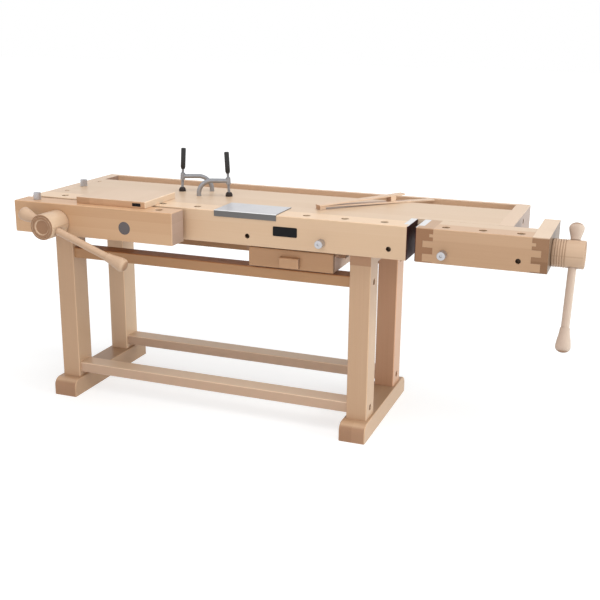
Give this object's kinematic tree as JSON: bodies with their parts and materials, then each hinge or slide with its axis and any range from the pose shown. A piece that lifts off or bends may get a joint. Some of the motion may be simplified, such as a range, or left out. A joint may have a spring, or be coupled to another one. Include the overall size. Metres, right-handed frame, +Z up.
{
  "type": "joiner's workbench",
  "caption": "Beech joiner's workbench on a trestle base, with a front vise, an L-shaped tail vise, a tool tray, a drawer, bench dogs and two screw hold-downs.",
  "frame": {"origin": "on the floor, under the middle of the whole bench's width and depth at rest", "axes": "+X along the bench to the tail vise, +Y from the front to the tool tray, +Z up"},
  "size_m": [2.2664, 0.8744, 1.0892],
  "materials": {
    "beech_frame": "oiled beech",
    "beech_top": "oiled beech, planed smooth",
    "beech_turned": "turned beech",
    "steel": "ground steel",
    "chrome": "plated",
    "black_rubber": "matt rubber",
    "black_plate": "bare black plate"
  },
  "bodies": {
    "bench": {"foot_left": "beech_frame", "foot_right": "beech_frame", "bearer_left": "beech_frame", "bearer_right": "beech_frame", "leg_front_left": "beech_frame", "leg_back_left": "beech_frame", "leg_front_right": "beech_frame", "leg_back_right": "beech_frame", "stretcher_lower_front": "beech_frame", "stretcher_lower_back": "beech_frame", "stretcher_upper_front": "beech_frame", "stretcher_upper_back": "beech_frame", "frame_bolts": "steel", "front_apron": "beech_top", "bench_jaw_block": "beech_top", "main_top": "beech_top", "end_cap_left": "beech_top", "end_cap_right": "beech_top", "rear_batten": "beech_frame", "back_rail": "beech_top", "tray_bottom": "beech_frame", "nameplate": "black_plate", "drawer_runners": "beech_frame", "vise_nuts": "steel", "tail_nut_block": "beech_top", "bench_jaw_plate": "steel"},
    "drawer": {"drawer_front": "beech_frame", "drawer_sides": "beech_frame", "drawer_back": "beech_frame", "drawer_bottom": "beech_frame", "drawer_handle": "beech_frame"},
    "front_jaw": {"front_jaw": "beech_top", "front_guide_rod": "steel"},
    "front_screw": {"front_screw": "steel", "front_hub": "beech_turned"},
    "front_bar": {"front_bar": "beech_turned", "front_knobs": "beech_turned"},
    "tail_vise": {"tail_front_board": "beech_top", "tail_jaw_block": "beech_top", "tail_end_block": "beech_top", "tail_cover": "beech_top", "tail_guide_rod": "steel", "tail_jaw_plate": "steel"},
    "tail_screw": {"tail_screw": "steel", "tail_hub": "beech_turned"},
    "tail_bar": {"tail_bar": "beech_turned", "tail_knobs": "beech_turned"},
    "edge_plate": {"edge_plate": "steel"},
    "bench_board": {"bench_board": "beech_top"},
    "dog_jaw": {"dog_jaw": "steel"},
    "dog_top": {"dog_top": "steel"},
    "peg_apron": {"peg_apron": "steel"},
    "peg_tail": {"peg_tail": "steel"},
    "bench_hooks": {"bench_hooks": "beech_top"},
    "hold_down_left": {"hold_down_left_arm": "chrome"},
    "hold_down_left_pad": {"hold_down_left_pad": "black_rubber"},
    "hold_down_left_spindle": {"hold_down_left_spindle": "chrome"},
    "hold_down_right": {"hold_down_right_arm": "chrome"},
    "hold_down_right_pad": {"hold_down_right_pad": "black_rubber"},
    "hold_down_right_spindle": {"hold_down_right_spindle": "chrome"}
  },
  "joints": [
    {"name": "drawer_slide", "type": "slide", "parent": "bench", "child": "drawer", "axis": [0, -1, 0], "range_m": [0, 0.25]},
    {"name": "front_jaw_slide", "type": "slide", "parent": "bench", "child": "front_jaw", "axis": [0, -1, 0], "range_m": [-0.0294, 0.12]},
    {"name": "front_screw_turn", "type": "hinge", "parent": "front_jaw", "child": "front_screw", "pos_m": [-0.92325, -0.32075, 0.824], "axis": [0, -1, 0], "range_deg": [-1764, 7200]},
    {"name": "front_bar_slide", "type": "slide", "parent": "front_screw", "child": "front_bar", "axis": [-0.9336, 0, 0.3584], "range_m": [0, 0.2389]},
    {"name": "tail_vise_slide", "type": "slide", "parent": "bench", "child": "tail_vise", "axis": [1, 0, 0], "range_m": [-0.0294, 0.12]},
    {"name": "tail_screw_turn", "type": "hinge", "parent": "tail_vise", "child": "tail_screw", "pos_m": [1.01675, -0.06875, 0.824], "axis": [1, 0, 0], "range_deg": [-1764, 7200]},
    {"name": "tail_bar_slide", "type": "slide", "parent": "tail_screw", "child": "tail_bar", "axis": [0, 0.3584, 0.9336], "range_m": [0, 0.2159]},
    {"name": "edge_plate_lift", "type": "slide", "parent": "bench", "child": "edge_plate", "axis": [0, 0, 1], "range_m": [0, 0.12]},
    {"name": "bench_board_lift", "type": "slide", "parent": "bench", "child": "bench_board", "axis": [0, 0, 1], "range_m": [0, 0.12]},
    {"name": "bench_hooks_lift", "type": "slide", "parent": "bench", "child": "bench_hooks", "axis": [0, 0, 1], "range_m": [0, 0.12]},
    {"name": "dog_jaw_lift", "type": "slide", "parent": "front_jaw", "child": "dog_jaw", "axis": [0, 0, 1], "range_m": [0, 0.09]},
    {"name": "dog_top_lift", "type": "slide", "parent": "bench", "child": "dog_top", "axis": [0, 0, 1], "range_m": [0, 0.09]},
    {"name": "peg_apron_pull", "type": "slide", "parent": "bench", "child": "peg_apron", "axis": [0, -1, 0], "range_m": [0, 0.04]},
    {"name": "peg_tail_pull", "type": "slide", "parent": "tail_vise", "child": "peg_tail", "axis": [0, -1, 0], "range_m": [0, 0.04]},
    {"name": "hold_down_left_swivel", "type": "hinge", "parent": "bench", "child": "hold_down_left", "pos_m": [-0.48025, 0.20225, 0.9], "axis": [0, 0, 1], "range_deg": [-25, 25]},
    {"name": "hold_down_left_pad_lift", "type": "slide", "parent": "hold_down_left", "child": "hold_down_left_pad", "axis": [0.0478, 0.0213, 0.9986], "range_m": [0, 0.018]},
    {"name": "hold_down_left_spindle_turn", "type": "hinge", "parent": "hold_down_left_pad", "child": "hold_down_left_spindle", "pos_m": [-0.5981, 0.14978, 0.913], "axis": [0.0478, 0.0213, 0.9986], "range_deg": [0, 2160]},
    {"name": "hold_down_right_swivel", "type": "hinge", "parent": "bench", "child": "hold_down_right", "pos_m": [-0.48025, 0.07425, 0.9], "axis": [0, 0, 1], "range_deg": [-25, 25]},
    {"name": "hold_down_right_pad_lift", "type": "slide", "parent": "hold_down_right", "child": "hold_down_right_pad", "axis": [-0.0495, -0.017, 0.9986], "range_m": [0, 0.018]},
    {"name": "hold_down_right_spindle_turn", "type": "hinge", "parent": "hold_down_right_pad", "child": "hold_down_right_spindle", "pos_m": [-0.35828, 0.11625, 0.913], "axis": [-0.0495, -0.017, 0.9986], "range_deg": [0, 2160]}
  ],
  "couplings": [
    {"joint": "front_jaw_slide", "follows": "front_screw_turn", "m_per_rad": 0.00095493},
    {"joint": "tail_vise_slide", "follows": "tail_screw_turn", "m_per_rad": 0.00095493}
  ]
}
